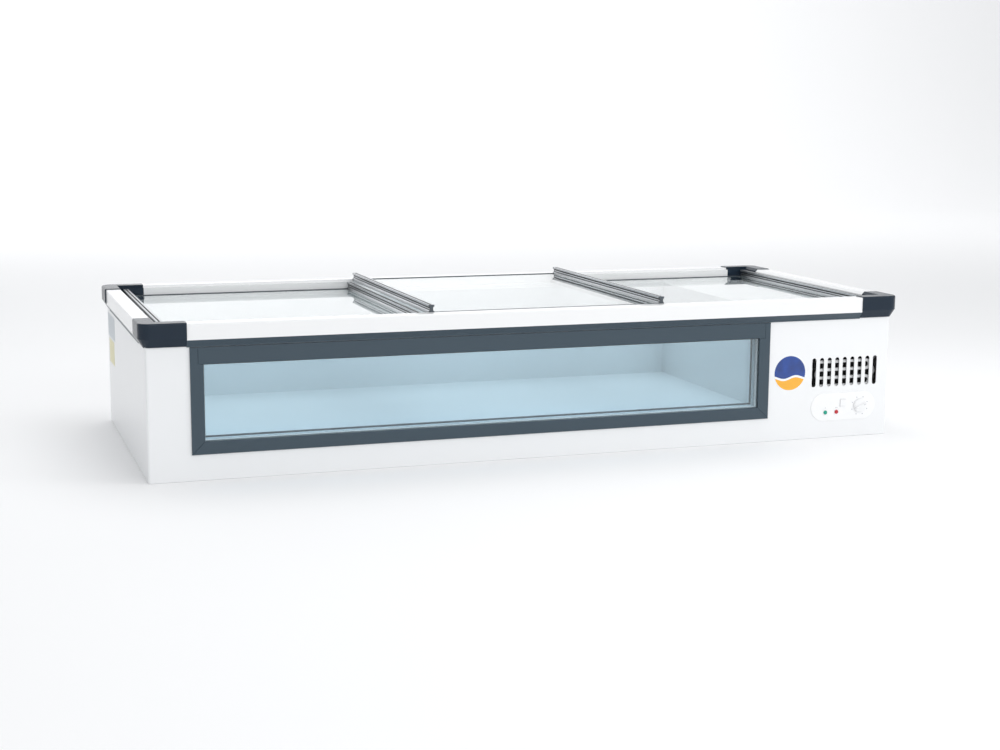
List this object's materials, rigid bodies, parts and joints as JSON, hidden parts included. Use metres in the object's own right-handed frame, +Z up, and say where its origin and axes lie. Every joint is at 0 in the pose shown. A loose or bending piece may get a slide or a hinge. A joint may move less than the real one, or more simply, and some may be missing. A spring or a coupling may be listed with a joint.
{
  "type": "chest freezer",
  "caption": "Long low shop chest freezer with sliding glass lids over a foamed tub, a front display window, and the cooling machinery in an end compartment.",
  "frame": {"origin": "on the floor under the middle of the cabinet, at the centre of the bounding box's bottom", "axes": "+X to the right along the cabinet's length, front towards -Y, +Z up"},
  "size_m": [2.031, 0.847, 0.399],
  "materials": {
    "white_sheet": "semi-gloss white powder coat",
    "white_rail": "glossy white coated extrusion",
    "slate_plastic": "glossy slate blue-grey moulding",
    "slate_frame": "satin slate blue-grey extrusion",
    "lid_metal": "anodised",
    "lid_glass": "clear toughened glass",
    "window_glass": "clear toughened glass",
    "spacer_metal": "mill finish",
    "black_rubber": "matt",
    "dark_plastic": "matt",
    "liner_metal": "stucco-embossed sheet",
    "foam": "rigid foam",
    "galvanised": "galvanised sheet",
    "white_plastic": "gloss white moulding",
    "green_lens": "clear green",
    "red_lens": "clear red",
    "machine_black": "black enamel",
    "fin_metal": "mill finish",
    "copper": "copper tube",
    "screw_steel": "zinc plated",
    "label_film": "printed film"
  },
  "bodies": {
    "cabinet": {"base_panel": "galvanised", "button_switch": "dark_plastic", "cable_gland": "dark_plastic", "compressor": "machine_black", "compressor_mounts": "black_rubber", "condenser_fins": "fin_metal", "condenser_tubes": "copper", "control_plate": "white_plastic", "corner_front_left": "slate_plastic", "corner_front_right": "slate_plastic", "corner_rear_left": "slate_plastic", "corner_rear_right": "slate_plastic", "evaporator_coil": "copper", "fan_motor": "machine_black", "fan_shroud": "galvanised", "filter_drier": "copper", "front_panel": "white_sheet", "front_rail": "white_rail", "green_lamp": "green_lens", "inner_liner": "liner_metal", "insulation_deck": "foam", "insulation_ends": "foam", "insulation_floor": "foam", "insulation_front": "foam", "insulation_rear": "foam", "left_panel": "white_sheet", "left_rail": "white_rail", "panel_screws": "screw_steel", "rear_panel": "white_sheet", "rear_rail": "white_rail", "red_lamp": "red_lens", "refrigerant_pipes": "copper", "relay_box": "dark_plastic", "right_panel": "white_sheet", "right_rail": "white_rail", "rim_skirts": "slate_frame", "round_label": "label_film", "thermostat_body": "white_plastic", "window_frame_bottom": "slate_frame", "window_frame_left": "slate_frame", "window_frame_right": "slate_frame", "window_frame_top": "slate_frame", "window_pane_inner": "window_glass", "window_pane_middle": "window_glass", "window_pane_outer": "window_glass", "window_reveal": "white_plastic", "window_seals": "black_rubber", "window_spacers": "spacer_metal"},
    "left_lid": {"left_lid_glass": "lid_glass", "left_lid_handles": "lid_metal", "left_lid_trim": "dark_plastic"},
    "middle_lid": {"middle_lid_glass": "lid_glass", "middle_lid_handles": "lid_metal", "middle_lid_trim": "dark_plastic"},
    "right_lid": {"right_lid_glass": "lid_glass", "right_lid_handles": "lid_metal", "right_lid_trim": "dark_plastic"},
    "knob": {"thermostat_knob": "white_plastic"},
    "button": {"fast_freeze_button": "white_plastic"},
    "fan": {"fan_blade": "dark_plastic"}
  },
  "joints": [
    {"name": "left_lid_slide", "type": "slide", "parent": "cabinet", "child": "left_lid", "axis": [1, 0, 0], "range_m": [0, 0.3]},
    {"name": "right_lid_slide", "type": "slide", "parent": "cabinet", "child": "right_lid", "axis": [1, 0, 0], "range_m": [-0.3, 0]},
    {"name": "middle_lid_slide", "type": "slide", "parent": "cabinet", "child": "middle_lid", "axis": [1, 0, 0], "range_m": [-0.65, 0.62]},
    {"name": "thermostat_turn", "type": "hinge", "parent": "cabinet", "child": "knob", "pos_m": [0.9155, -0.4085, 0.0834], "axis": [0, -1, 0], "range_deg": [-150, 150]},
    {"name": "button_press", "type": "slide", "parent": "cabinet", "child": "button", "axis": [0, 1, 0], "range_m": [0, 0.0025], "stiffness_N_per_m": 400, "springref_m": -0.001},
    {"name": "fan_spin", "type": "hinge", "parent": "cabinet", "child": "fan", "pos_m": [0.865, -0.32, 0.207], "axis": [0, 1, 0], "continuous": true}
  ]
}
